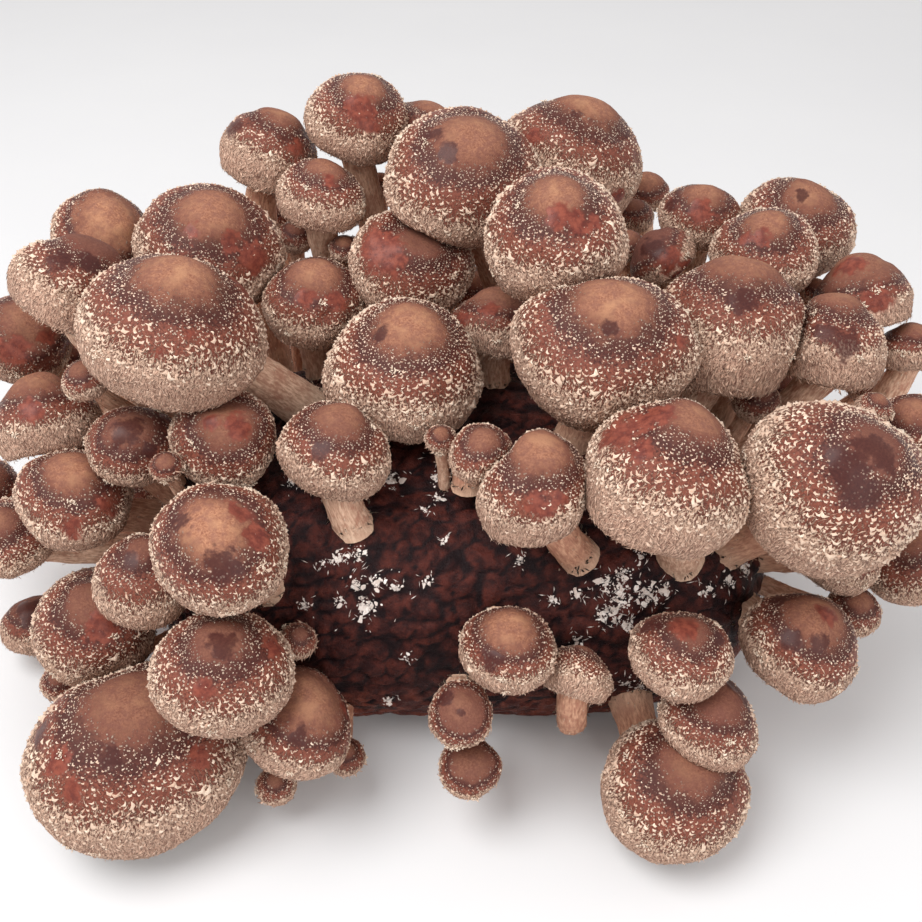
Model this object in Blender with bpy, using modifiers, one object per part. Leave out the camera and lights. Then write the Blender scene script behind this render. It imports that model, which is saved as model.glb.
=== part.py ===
"""Shiitake grow kit: a loaf of skinned-over sawdust with shiitake growing from all round it.

Metres, +Z up, +X along the block. The origin is the middle of the flat base it rests on.
Every mushroom is one solid, cap and stem grown together, and the block is another.
"""

import math
from collections import namedtuple

import bmesh
import bpy
import numpy as np
from mathutils import Matrix, Vector, noise

MM = 0.001
GAP = 0.3 * MM
FLOOR_CLEARANCE = 2.0 * MM

# The block: a rounded loaf that stands on a flat base
BLOCK_LENGTH = 244 * MM
BLOCK_DEPTH = 156 * MM
BLOCK_HEIGHT = 100 * MM
BLOCK_WIDEST_UP = 34 * MM
BLOCK_FORWARD = -5 * MM
BASE_TUCK = 12 * MM
HEART = Vector((0, BLOCK_FORWARD, BLOCK_WIDEST_UP))
SECTION_SQUARENESS = 2.6
LENGTH_SQUARENESS = 3.4
BLOCK_CELLS = (13, 8, 5)
LUMP_HEIGHT = 1.6 * MM
LUMP_SIZE = 20 * MM
DIMPLE_HEIGHT = 0.7 * MM
DIMPLE_SIZE = 8 * MM

# One mushroom's turned profile, in half cap widths: radius, and height over the rim
CAP_PROFILE = (
    (0.00, 0.80),
    (0.38, 0.73),
    (0.80, 0.44),
    (1.00, 0.00),
    (0.84, -0.38),
)
STEM_TOP = (0.34, -0.14)
STEM_LEAST = 3.5 * MM
STEM_SHARE = 0.15
FOOT_FLARE = 1.2
YOUNG_WIDTH = 30 * MM
YOUNG_LIP = (0.70, -0.46)
STEM_BEND_UP = 0.2
STEM_BEND_DOWN = 0.36
STEM_ROOTED = 7 * MM

# Facets round a cap, by the cap's width
FACETS = ((60 * MM, 12), (48 * MM, 10), (0, 8))

# Each mushroom: where the middle of its rim is, how wide its cap is, which way the cap
# leans (sideways and back, per unit of height), and about where on the block's skin its
# stem comes out. Lengths in millimetres. The last value makes a cap taller than most.
Mushroom = namedtuple("Mushroom", "name rim width lean foot tall", defaults=(1.0,))

CROWN_LEFT = (
    Mushroom("crown_left_back", (-82, 103, 158), 44, (0.4, 0.25), (-78, 58, 65), 1.15),
    Mushroom("crown_left_high", (-43, 100, 176), 45, (0.25, -0.25), (-26, 58, 80)),
    Mushroom("crown_left_small", (-57, 73, 154), 38, (0.25, 0.0), (-50, 68, 70)),
    Mushroom("crown_left_inner", (-59, 37, 127), 43, (0.15, -0.15), (-58, 36, 90)),
    Mushroom("crown_left_wide", (-101, 51, 143), 59, (0.25, -0.35), (-88, 36, 85)),
    Mushroom("crown_left_outer", (-149, 70, 137), 44, (0.6, -0.4), (-105, 38, 70)),
    Mushroom("crown_left_pale", (-144, 15, 145), 48, (0.5, 0.45), (-104, 10, 82), 1.1),
    Mushroom("crown_left_largest", (-103, -12, 144), 68, (0.25, 0.0), (-58, 8, 100)),
    Mushroom("crown_left_young", (-85, -33, 114), 40, (0.3, -0.45), (-82, -30, 90)),
    Mushroom("crown_left_low", (-120, -29, 107), 34, (0.15, -0.35), (-108, -22, 76)),
)
CROWN_MIDDLE = (
    Mushroom("crown_middle_back", (-17, 114, 160), 43, (0.45, 0.2), (-4, 57, 82)),
    Mushroom("crown_middle_dotted", (1, 71, 164), 66, (0.15, -0.35), (32, 58, 86), 0.9),
    Mushroom("crown_middle_wrinkled", (47, 106, 155), 64, (0.25, 0.05), (58, 56, 84), 1.05),
    Mushroom("crown_middle_high", (35, 20, 165), 56, (-0.1, -0.3), (38, 7, 97)),
    Mushroom("crown_middle_patched", (-20, 51, 136), 51, (0.3, -0.45), (-20, 41, 91)),
    Mushroom("crown_middle_inner", (14, 28, 120), 38, (0.05, 0.35), (13, 25, 96), 1.1),
    Mushroom("crown_middle_front", (-21, -5, 123), 62, (0.15, -0.15), (-21, -3, 98)),
    Mushroom("crown_middle_wide", (50, -20, 143), 65, (0.05, -0.25), (44, -14, 97)),
    Mushroom("crown_middle_upright", (-44, -43, 116), 42, (0.15, 0.0), (-38, -57, 88)),
    Mushroom("crown_middle_shaded", (7, -57, 126), 24, (0.05, -0.25), (-2, -32, 96)),
)
CROWN_RIGHT = (
    Mushroom("crown_right_back", (99, 74, 145), 34, (0.0, -0.15), (84, 46, 78)),
    Mushroom("crown_right_glossy", (81, 51, 138), 31, (-1.0, 0.35), (78, 32, 88)),
    Mushroom("crown_right_outer", (140, 75, 139), 50, (0.1, -0.25), (104, 36, 70)),
    Mushroom("crown_right_pale", (118, 39, 148), 42, (-0.15, -0.2), (100, 18, 80)),
    Mushroom("crown_right_smooth", (157, 30, 132), 40, (-0.25, 0.4), (114, 22, 66), 1.15),
    Mushroom("crown_right_tall", (99, 2, 133), 58, (0.15, 0.3), (84, 2, 92), 1.3),
    Mushroom("crown_right_round", (137, -1, 130), 42, (0.05, 0.35), (108, 0, 80), 1.25),
    Mushroom("crown_right_tip", (176, 17, 117), 28, (0.05, 0.35), (119, 8, 55)),
    Mushroom("crown_right_small", (162, -32, 118), 28, (-0.35, -0.2), (113, -22, 72)),
)
LEFT_END = (
    Mushroom("left_end_hidden", (-178, 34, 112), 41, (0.6, -0.35), (-114, 25, 55)),
    Mushroom("left_end_smooth", (-160, -6, 99), 41, (-0.15, 0.35), (-116, 8, 62), 1.2),
    Mushroom("left_end_speckled", (-144, -35, 87), 44, (0.2, -0.15), (-117, -18, 62)),
    Mushroom("left_end_far", (-197, 0, 60), 30, (0.45, -0.2), (-121, 0, 40)),
    Mushroom("left_end_fibrous", (-176, -31, 62), 35, (0.05, -0.3), (-120, -18, 45)),
    Mushroom("left_end_streaked", (-138, -62, 46), 48, (0.2, -0.25), (-112, -32, 31)),
    Mushroom("left_end_bare", (-175, -36, 16), 30, (0.2, 0.25), (-121, -14, 28), 1.1),
)
FRONT_LEFT = (
    Mushroom("front_left_ragged", (-79, -83, 107), 47, (0.05, -0.4), (-66, -67, 71)),
    Mushroom("front_left_speckled", (-111, -71, 80), 37, (0.1, -0.05), (-104, -50, 62), 1.15),
    Mushroom("front_left_round", (-80, -105, 71), 48, (0.1, -0.1), (-74, -76, 54)),
    Mushroom("front_left_smooth", (-57, -106, 45), 42, (0.4, 0.05), (-56, -80, 36)),
    Mushroom("front_left_largest", (-115, -107, 29), 76, (0.1, 0.0), (-92, -66, 28)),
)
FRONT_MIDDLE = (
    Mushroom("front_middle_tufted", (16, -96, 72), 34, (0.0, -0.05), (14, -76, 64)),
    Mushroom("front_middle_dark", (0, -110, 55), 24, (0.05, -0.45), (0, -79, 50)),
    Mushroom("front_middle_lowest", (3, -115, 31), 23, (0.1, -0.3), (2, -80, 18)),
    Mushroom("front_middle_tilted", (40, -97, 59), 27, (0.35, 0.7), (43, -75, 8)),
    Mushroom("front_middle_slit", (24, -67, 120), 42, (0.1, -0.1), (44, -66, 86), 1.2),
)
FRONT_RIGHT = (
    Mushroom("front_right_dark", (75, -96, 69), 36, (0.1, -0.05), (75, -68, 54)),
    Mushroom("front_right_folded", (86, -107, 47), 37, (0.15, 0.0), (82, -65, 32)),
    Mushroom("front_right_lowest", (75, -118, 23), 53, (0.2, -0.15), (62, -76, 22)),
    Mushroom("front_right_streaked", (121, -82, 58), 42, (0.15, -0.1), (108, -55, 50), 1.15),
    Mushroom("front_right_patched", (67, -67, 124), 60, (0.3, 0.0), (84, -62, 80), 1.1),
    Mushroom("front_right_pale", (122, -69, 122), 62, (0.25, -0.4), (104, -50, 78), 1.15),
    Mushroom("front_right_tucked", (138, -48, 74), 39, (0.25, -0.05), (114, -38, 60)),
    Mushroom("right_end_outer", (173, -42, 64), 42, (-0.35, -0.25), (120, -20, 52)),
)
BACK = (
    Mushroom("back_left", (-98, 100, 50), 46, (-0.1, 0.3), (-81, 56, 55)),
    Mushroom("back_middle_left", (-44, 120, 58), 44, (0.05, 0.2), (-36, 70, 40)),
    Mushroom("back_middle", (12, 124, 46), 52, (-0.1, 0.3), (11, 71, 49)),
    Mushroom("back_middle_right", (62, 114, 64), 40, (0.1, 0.25), (56, 63, 66)),
    Mushroom("back_right", (108, 92, 44), 44, (0.3, 0.2), (86, 54, 45)),
)
MUSHROOMS = (
    CROWN_LEFT + CROWN_MIDDLE + CROWN_RIGHT + LEFT_END
    + FRONT_LEFT + FRONT_MIDDLE + FRONT_RIGHT + BACK
)

BLOCK_COLOUR = (0.045, 0.016, 0.011)
CAP_COLOUR = (0.30, 0.15, 0.09)
CAP_COLOUR_SPREAD = 0.25


def clear_scene():
    for old in list(bpy.data.objects):
        bpy.data.objects.remove(old, do_unlink=True)


def make_collection():
    collection = bpy.data.collections.new("shiitake_grow_kit")
    bpy.context.scene.collection.children.link(collection)
    return collection


def make_material(name, colour, roughness):
    material = bpy.data.materials.new(name)
    material.use_nodes = True
    shader = material.node_tree.nodes["Principled BSDF"]
    shader.inputs["Base Color"].default_value = (*colour, 1.0)
    shader.inputs["Roughness"].default_value = roughness
    shader.inputs["Metallic"].default_value = 0.0
    return material


def loaf_reach(direction):
    """How far the loaf's even surface is from its heart, as a multiple of this vector."""
    half_up = BLOCK_HEIGHT - BLOCK_WIDEST_UP
    half_down = BLOCK_WIDEST_UP + BASE_TUCK
    along = abs(direction.x) / (BLOCK_LENGTH / 2)
    across = abs(direction.y) / (BLOCK_DEPTH / 2)
    height = abs(direction.z) / (half_up if direction.z > 0 else half_down)
    section = across ** SECTION_SQUARENESS + height ** SECTION_SQUARENESS
    whole = section ** (LENGTH_SQUARENESS / SECTION_SQUARENESS) + along ** LENGTH_SQUARENESS
    return whole ** (-1 / LENGTH_SQUARENESS)


def make_block(collection):
    """A cube cut into cells, drawn onto a rounded loaf and lumped, with a flat base."""
    form = bmesh.new()
    bmesh.ops.create_cube(form, size=2.0)
    for axis, cells in enumerate(BLOCK_CELLS):
        along = [
            edge for edge in form.edges
            if abs((edge.verts[0].co - edge.verts[1].co).normalized()[axis]) > 0.9
        ]
        bmesh.ops.subdivide_edges(form, edges=along, cuts=cells - 1, use_grid_fill=True)
    half_size = Vector((BLOCK_LENGTH, BLOCK_DEPTH, BLOCK_HEIGHT)) / 2
    for vert in form.verts:
        direction = vert.co * half_size
        surface = direction * loaf_reach(direction)
        out = surface.normalized()
        lump = noise.noise((HEART + surface) / LUMP_SIZE) * LUMP_HEIGHT
        dimple = noise.noise((HEART + surface) / DIMPLE_SIZE) * DIMPLE_HEIGHT
        vert.co = HEART + surface + out * (lump + dimple)
        vert.co.z = max(vert.co.z, 0.0)
    bmesh.ops.triangulate(form, faces=form.faces)
    bmesh.ops.recalc_face_normals(form, faces=form.faces)
    mesh = bpy.data.meshes.new("block")
    form.to_mesh(mesh)
    form.free()
    mesh.materials.append(make_material("block", BLOCK_COLOUR, 0.6))
    mesh.shade_smooth()
    mesh.set_sharp_from_angle(angle=math.radians(60))
    block = bpy.data.objects.new("block", mesh)
    collection.objects.link(block)
    return block


def facet_count(width):
    return next(count for least, count in FACETS if width >= least)


def stem_radius(half):
    """Stems differ in thickness less than caps do in width."""
    return STEM_LEAST + STEM_SHARE * half


def turned_mushroom(half, facets):
    """The straight mushroom: its profile turned about Z, with the stem one unit long."""
    cap = list(CAP_PROFILE)
    if half * 2 < YOUNG_WIDTH:
        cap[-1] = YOUNG_LIP
    waist = stem_radius(half) / half
    top_height = STEM_TOP[1]
    stem = [
        STEM_TOP,
        (waist, top_height - 0.5),
        (waist * FOOT_FLARE, top_height - 1),
        (0.0, top_height - 1),
    ]
    outline = cap + stem
    mesh = bpy.data.meshes.new("profile")
    points = [(radius, 0.0, height) for radius, height in outline]
    links = [(index, index + 1) for index in range(len(outline) - 1)]
    mesh.from_pydata(points, links, [])
    profile = bpy.data.objects.new("profile", mesh)
    bpy.context.scene.collection.objects.link(profile)
    screw = profile.modifiers.new("turn", "SCREW")
    screw.axis = "Z"
    screw.angle = math.tau
    screw.steps = facets
    screw.render_steps = facets
    screw.use_merge_vertices = True
    screw.merge_threshold = 0.0001
    graph = bpy.context.evaluated_depsgraph_get()
    turned = bpy.data.meshes.new_from_object(profile.evaluated_get(graph))
    bpy.data.objects.remove(profile, do_unlink=True)
    return turned


def skin_point(point):
    """The point of the loaf's even surface that lies out from its heart through this one."""
    direction = point - HEART
    return HEART + direction * loaf_reach(direction)


def outward(point):
    """The direction straight out of the loaf at a point of its even surface."""
    step = 1 * MM
    here = point - HEART
    slope = [
        1 / loaf_reach(here + move) - 1 / loaf_reach(here - move)
        for move in (Vector((step, 0, 0)), Vector((0, step, 0)), Vector((0, 0, step)))
    ]
    return Vector(slope).normalized()


def bezier(ends, share):
    start, leave, arrive, end = ends
    rest = 1 - share
    return (
        start * rest ** 3
        + leave * 3 * rest ** 2 * share
        + arrive * 3 * rest * share ** 2
        + end * share ** 3
    )


def bezier_direction(ends, share):
    start, leave, arrive, end = ends
    rest = 1 - share
    slope = (
        (leave - start) * rest ** 2
        + (arrive - leave) * 2 * rest * share
        + (end - arrive) * share ** 2
    )
    return slope.normalized()


def grow(plan, number):
    """Carry the turned mushroom to its place: lean the cap, bend the stem into the block."""
    half = plan.width * MM / 2
    rim = Vector(plan.rim) * MM
    axis = Vector((*plan.lean, 1.0)).normalized()
    side = axis.orthogonal().normalized()
    frame = Matrix((side, axis.cross(side), axis)).transposed()

    foot = skin_point(Vector(plan.foot) * MM)
    out = outward(foot)
    stem_top = rim + axis * STEM_TOP[1] * half
    length = (foot - stem_top).length
    low = stem_radius(half) * FOOT_FLARE + FLOOR_CLEARANCE
    leave = stem_top - axis * length * STEM_BEND_UP
    arrive = foot + out * length * STEM_BEND_DOWN
    leave.z = max(leave.z, low)
    arrive.z = max(arrive.z, low)
    ends = (stem_top, leave, arrive, foot - out * STEM_ROOTED)

    mesh = turned_mushroom(half, facet_count(plan.width * MM))
    phase = number * 2.4
    is_cap = []
    for vert in mesh.vertices:
        point = vert.co.copy()
        radius = math.hypot(point.x, point.y)
        angle = math.atan2(point.y, point.x)
        on_stem = point.z < STEM_TOP[1] + 0.001 and radius < 0.5
        is_cap.append(not on_stem)
        if on_stem:
            share = min(1.0, max(0.0, STEM_TOP[1] - point.z))
            along = bezier_direction(ends, share)
            turn = axis.rotation_difference(-along)
            flat = frame @ Vector((point.x, point.y, 0)) * half
            place = bezier(ends, share) + turn @ flat
        else:
            oval = 1 + 0.035 * math.sin(2 * angle + phase) + 0.02 * math.sin(3 * angle - phase)
            droop = 0.05 * radius * math.sin(2 * angle + 1.7 * phase)
            swell = 1 + (oval - 1) * min(1.0, radius * 1.4)
            local = Vector((point.x * swell, point.y * swell, point.z * plan.tall - droop))
            place = rim + frame @ local * half
        place.z = max(place.z, FLOOR_CLEARANCE)
        vert.co = place
    return mesh, np.array(is_cap)


def press_caps(grown):
    """Flatten caps where they grew into each other, so each keeps to its own side."""
    clouds = []
    for mesh, is_cap in grown:
        points = np.array([vert.co[:] for vert in mesh.vertices])
        clouds.append([points, is_cap])
    directions = sphere_directions(400)
    for first in range(len(clouds)):
        for second in range(first + 1, len(clouds)):
            near, far = clouds[first], clouds[second]
            near_cap = near[0][near[1]]
            far_cap = far[0][far[1]]
            apart = np.linalg.norm(near_cap.mean(axis=0) - far_cap.mean(axis=0))
            if apart > 90 * MM:
                continue
            reach = (near_cap @ directions.T).max(axis=0)
            start = (far_cap @ directions.T).min(axis=0)
            clear = start - reach
            best = int(clear.argmax())
            if clear[best] >= GAP:
                continue
            facing = directions[best]
            middle = (reach[best] + start[best]) / 2
            for cloud, sign in ((near, 1), (far, -1)):
                level = cloud[0] @ facing * sign
                over = level - (middle * sign - GAP / 2)
                moved = np.where(cloud[1] & (over > 0), over, 0.0)
                cloud[0] = cloud[0] - np.outer(moved * sign, facing)
    for (mesh, _), (points, _) in zip(grown, clouds):
        for vert, point in zip(mesh.vertices, points):
            vert.co = point


def sphere_directions(count):
    """Directions spread evenly over a sphere, on a golden spiral."""
    number = np.arange(count)
    height = 1 - (2 * number + 1) / count
    turn = number * math.pi * (3 - math.sqrt(5))
    level = np.sqrt(1 - height ** 2)
    return np.stack((level * np.cos(turn), level * np.sin(turn), height), axis=1)


def make_skin_cutter(block):
    """The block swollen by the gap, which trims each stem's foot to the skin."""
    mesh = block.data.copy()
    normals = [vert.normal.copy() for vert in mesh.vertices]
    for vert, normal in zip(mesh.vertices, normals):
        vert.co += normal * GAP
    cutter = bpy.data.objects.new("skin_cutter", mesh)
    cutter.hide_render = True
    cutter.display_type = "WIRE"
    cutters = bpy.data.collections.new("cutters")
    bpy.context.scene.collection.children.link(cutters)
    cutters.objects.link(cutter)
    return cutter


def make_mushrooms(collection, cutter):
    grown = [grow(plan, number) for number, plan in enumerate(MUSHROOMS)]
    press_caps(grown)
    for number, (plan, (mesh, _)) in enumerate(zip(MUSHROOMS, grown)):
        shade = 1 + CAP_COLOUR_SPREAD * math.sin(number * 1.9)
        colour = [channel * shade for channel in CAP_COLOUR]
        mesh.name = plan.name
        mesh.materials.clear()
        mesh.materials.append(make_material(plan.name, colour, 0.8))
        mesh.shade_smooth()
        mesh.set_sharp_from_angle(angle=math.radians(70))
        mushroom = bpy.data.objects.new(plan.name, mesh)
        collection.objects.link(mushroom)
        trim = mushroom.modifiers.new("trim_foot", "BOOLEAN")
        trim.operation = "DIFFERENCE"
        trim.solver = "EXACT"
        trim.object = cutter


def main():
    clear_scene()
    collection = make_collection()
    block = make_block(collection)
    make_mushrooms(collection, make_skin_cutter(block))


main()
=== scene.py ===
"""Looks of the shiitake grow kit: a dark block of grown-together sawdust, with shiitake all round it.

Lengths are in metres, in the frame of the solids. Each mushroom is drawn smooth over the rings of corners
of its own solid, so it stays where the solid is, and its flecks, fibres and gills are laid on that surface.
"""

import math
from collections import namedtuple

import bmesh
import bpy
import numpy as np
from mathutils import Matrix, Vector, noise
from mathutils.bvhtree import BVHTree


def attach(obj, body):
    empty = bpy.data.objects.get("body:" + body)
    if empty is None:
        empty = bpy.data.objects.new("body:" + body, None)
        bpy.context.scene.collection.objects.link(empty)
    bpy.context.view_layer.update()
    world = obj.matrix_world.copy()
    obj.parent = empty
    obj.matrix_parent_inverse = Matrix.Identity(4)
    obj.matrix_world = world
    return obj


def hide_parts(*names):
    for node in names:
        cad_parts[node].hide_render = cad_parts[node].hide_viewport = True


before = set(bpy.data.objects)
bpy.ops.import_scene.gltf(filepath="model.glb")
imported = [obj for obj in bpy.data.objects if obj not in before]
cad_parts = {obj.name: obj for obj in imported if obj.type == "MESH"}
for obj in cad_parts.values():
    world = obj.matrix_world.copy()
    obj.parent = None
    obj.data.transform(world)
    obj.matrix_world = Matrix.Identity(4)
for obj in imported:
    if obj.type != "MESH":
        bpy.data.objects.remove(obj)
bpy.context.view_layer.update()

MM = 0.001

# Camera
CAMERA_PLACE = (0.0, -0.3447, 0.3643)
CAMERA_TARGET = (0.0, 0.0, 0.075)
CAMERA_ANGLE = math.radians(45)

# How finely caps, gills, stems and block are drawn
CAP_SPACING = 1.7 * MM
GILL_SPACING = 1.35 * MM
GILL_ROWS = 5
STEM_COLUMNS = 20
STEM_SPACING = 3.2 * MM
BLOCK_SPACING = 1.9 * MM

# Zones of a cap, as shares of the way along its surface from the apex to the rim
UMBO_END = 0.34
UMBO_REACH = 0.90
WOOL_START = 0.46
WOOL_FULL = 0.96
FELT_START = 0.90

# How far under its solid's surface a cap's skin lies, so that the flecks and fibres on it reach the surface
SKIN_DEPTH = 0.6 * MM
# Shapes of a cap's skin: the raised middle, the groove round it and the swells, in shares of the cap's
# surface and of half its width, and the crumples
MIDDLE_REACH, MIDDLE_RISE = 0.30, 0.035
GROOVE_PLACE, GROOVE_REACH, GROOVE_DEPTH = 0.42, 0.11, 0.022
SWELL_WIDTH, SWELL_RISE = 0.35, 0.04
CRUMPLE_WIDTH, CRUMPLE_RISE = 5 * MM, 0.26 * MM
# Gills: how far up a fold lies at its ends and how much more in the middle, as shares of half the cap's
# width, and how much of that its lower edge keeps
GILL_LIFT, GILL_DEPTH, GILL_EDGE = 0.05, 0.12, 0.15
# Where a patch ends, how wide its edge is and how far it wanders, as shares of its radius
PATCH_END, PATCH_EDGE, PATCH_WOBBLE = 1.35, 0.75, 0.55

# How far a stem goes on inside its cap and inside the block. Where its neck ends and its foot starts, as
# shares of its length, how much wider it gets at the foot, and how high its ridges and lumps stand
STEM_IN_CAP = 3 * MM
STEM_IN_BLOCK = 4 * MM
NECK_END = 0.16
FOOT_START = 0.72
FOOT_FLARE = 0.22
RIDGE_RISE = 0.35 * MM
LUMP_RISE = 0.55 * MM

# Fibres by kind: their least and most length and width, and how deep they are rooted, in millimetres
Fibre = namedtuple("Fibre", "length width root")
STEM_FIBRE = Fibre((0.8, 2.2), (0.15, 0.4), 0.1)
FELT_FIBRE = Fibre((1.4, 4.2), (0.10, 0.24), 0.05)
TUFT_FIBRE = Fibre((0.7, 1.9), (0.35, 0.75), 0.3)
FRINGE_FIBRE = Fibre((0.7, 2.3), (0.2, 0.6), 0.2)
COLLAR_FIBRE = Fibre((1.0, 3.0), (0.4, 1.1), 0.0)
BLOCK_THREAD = Fibre((1.0, 3.6), (0.15, 0.45), 0.0)

GOLDEN_TURN = math.pi * (3 - math.sqrt(5))
# A way that no stem takes, from which the sides of all stems are worked out
ASKEW = (0.3, 0.5, 0.8)

# A mushroom's materials, by their place in its list
SKIN, GILLS, STEM, FLECKS = range(4)

# What sets one mushroom apart: its name, how far its velvety middle reaches, the middle's tone from plum to
# golden, and how much of the cap is flecks. Then its bare patches, red or plum, each a place in millimetres
# and a radius, and its dents, grooves between two places with a width and a depth. A mushroom's second
# line is set in, and two spaces part the marks.
LOOK_TABLE = """
crown_left_back 0.36 0.60 0.50  red -71 94 165 5  plum -94 97 174 5
crown_left_high 0.34 0.80 0.70  red -40 86 186 7  red -36 85 180 4
crown_left_small 0.36 0.60 0.70  red -52 64 166 3
crown_left_inner 0.46 0.70 0.45  red -60 23 137 4  red -48 24 137 5  dent -52 21 130 -52 21 131 2.4 2
crown_left_wide 0.40 0.72 0.60  red -102 32 161 4  red -80 36 147 7  red -88 34 155 5
crown_left_outer 0.62 0.95 0.80  plum -161 60 153 3
crown_left_pale 0.40 0.12 1.00  plum -143 5 164 5  plum -134 10 161 4
crown_left_largest 0.37 0.80 0.75  red -80 4 155 4.5  red -87 9 157 3  red -90 -35 159 2.3
    red -99 -40 156 2
crown_left_young 0.48 0.45 0.60  red -77 -41 125 5  red -86 -42 127 3
crown_left_low 0.45 0.30 0.30  plum -119 -35 119 6  plum -111 -38 112 3
crown_middle_back 0.40 0.70 0.60
crown_middle_dotted 0.40 0.62 0.70  plum -10 65 186 4  plum -5 55 182 4
crown_middle_wrinkled 0.36 0.78 0.55  red 66 81 150 5  red 30 92 171 5  plum 47 96 181 2.5
    dent 34 94 177 53 99 181 1.2 1.3  dent 59 92 178 70 95 170 2.5 1.2
crown_middle_high 0.32 0.72 0.80  red 34 4 182 5  red 41 3 180 5  red 46 6 179 3
crown_middle_patched 0.30 0.30 0.85  red -31 39 149 9  red -27 34 147 6  red -34 46 150 5
crown_middle_inner 0.60 0.50 0.25  red 11 20 134 4  red 2 22 128 4
crown_middle_front 0.38 0.85 1.00  plum -29 -13 145 3.5
crown_middle_wide 0.37 0.80 0.80  red 74 -35 156 3  red 38 -5 170 5  plum 49 -37 163 3
    plum 60 -40 161 3
crown_middle_upright 0.40 0.50 0.75  plum -47 -57 127 3.5
crown_middle_shaded 0.40 0.45 0.70
crown_right_back 0.45 0.62 0.30  red 96 64 153 5  plum 86 71 152 3
crown_right_glossy 0.70 0.05 0.10  red 82 39 144 6  red 88 37 140 6  plum 75 44 148 6
crown_right_outer 0.36 0.60 0.70  plum 138 68 158 3
crown_right_pale 0.36 0.68 0.70  red 107 31 159 3  red 113 28 161 4
crown_right_smooth 0.75 0.45 0.30  red 157 14 142 6  red 149 30 147 6
crown_right_tall 0.40 0.62 0.65  plum 99 -11 157 5
crown_right_round 0.36 0.55 0.60  plum 136 -16 142 6  plum 130 -12 144 4.5
crown_right_tip 0.60 0.50 0.30  red 171 11 121 4
crown_right_small 0.40 0.50 0.60
left_end_hidden 0.55 0.50 0.25  red -175 18 117 6  red -165 26 118 4
left_end_smooth 0.50 0.65 0.40  red -159 -18 114 5
left_end_speckled 0.42 0.75 0.70  red -130 -45 92 5  red -140 -54 89 4
left_end_far 0.45 0.35 0.40
left_end_fibrous 0.30 0.35 0.90
left_end_streaked 0.34 0.35 0.60  red -131 -74 58 6
left_end_bare 0.60 0.25 0.15  plum -174 -39 29 7
front_left_ragged 0.46 0.95 0.60  red -70 -82 124 4.5  red -65 -89 119 4.5  plum -89 -87 124 4
    plum -74 -100 117 5.5
front_left_speckled 0.20 0.30 0.50  plum -112 -77 96 3
front_left_round 0.30 0.30 0.70  red -81 -122 83 3.5  red -61 -103 82 4  plum -77 -109 90 5
front_left_smooth 0.62 0.62 0.40  red -40 -103 49 3  plum -54 -120 56 3.5
front_left_largest 0.36 0.45 0.75  red -133 -126 49 5  red -128 -134 46 4  red -89 -120 44 4
    plum -142 -113 47 5  plum -77 -109 25 2.5  plum -116 -125 53 4
    dent -142 -120 47 -128 -138 44 1.6 1.4  dent -136 -116 50 -124 -132 48 1.2 1
    dent -107 -141 37 -104 -147 25 1.4 1.6
front_middle_tufted 0.50 0.85 0.70  plum 10 -107 79 4
front_middle_dark 0.60 0.25 0.40  plum -5 -110 63 3  plum 0 -115 63 1.5
front_middle_lowest 0.60 0.35 0.40
front_middle_tilted 0.20 0.45 0.90
front_middle_slit 0.42 0.70 0.90  red 25 -85 128 4.5  red 31 -82 128 3
    dent 16 -73 136 24 -70 139 1.1 1.8
front_right_dark 0.30 0.25 0.70  red 75 -96 83 5  plum 64 -93 79 4.5  plum 87 -97 78 3
front_right_folded 0.45 0.20 0.70  plum 93 -102 54 6  plum 82 -115 43 3
    dent 80 -111 51 86 -113 52 2 1.8  dent 86 -113 52 93 -118 45 2 1.8
front_right_lowest 0.36 0.40 0.65  red 55 -112 40 3  plum 62 -128 51 4.5  plum 68 -143 45 4
    plum 86 -133 47 3.5
front_right_streaked 0.45 0.62 0.60  red 126 -84 76 4  plum 113 -74 73 3.5  plum 113 -92 72 4
    plum 122 -94 72 4
front_right_patched 0.26 0.60 0.95  red 50 -68 144 7  red 63 -65 150 6  red 56 -78 145 4.5
    red 57 -66 148 5
front_right_pale 0.20 0.15 1.00  plum 122 -91 138 6  plum 117 -85 145 6.5  plum 129 -83 145 6
    plum 124 -80 146 6
front_right_tucked 0.40 0.40 0.60
right_end_outer 0.34 0.40 0.70
"""
Look = namedtuple("Look", "umbo tan cream red plum dent", defaults=(0.34, 0.6, 0.6, (), (), ()))


def read_looks():
    """The look of each mushroom in the table, by name."""
    looks = {}
    for entry in LOOK_TABLE.replace("\n    ", "  ").strip().splitlines():
        first, *marks = entry.split("  ")
        name, *tones = first.split()
        patches = {"red": [], "plum": [], "dent": []}
        for mark in marks:
            kind, *numbers = mark.split()
            patches[kind].append(tuple(map(float, numbers)))
        looks[name] = Look(*map(float, tones), **patches)
    return looks


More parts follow.
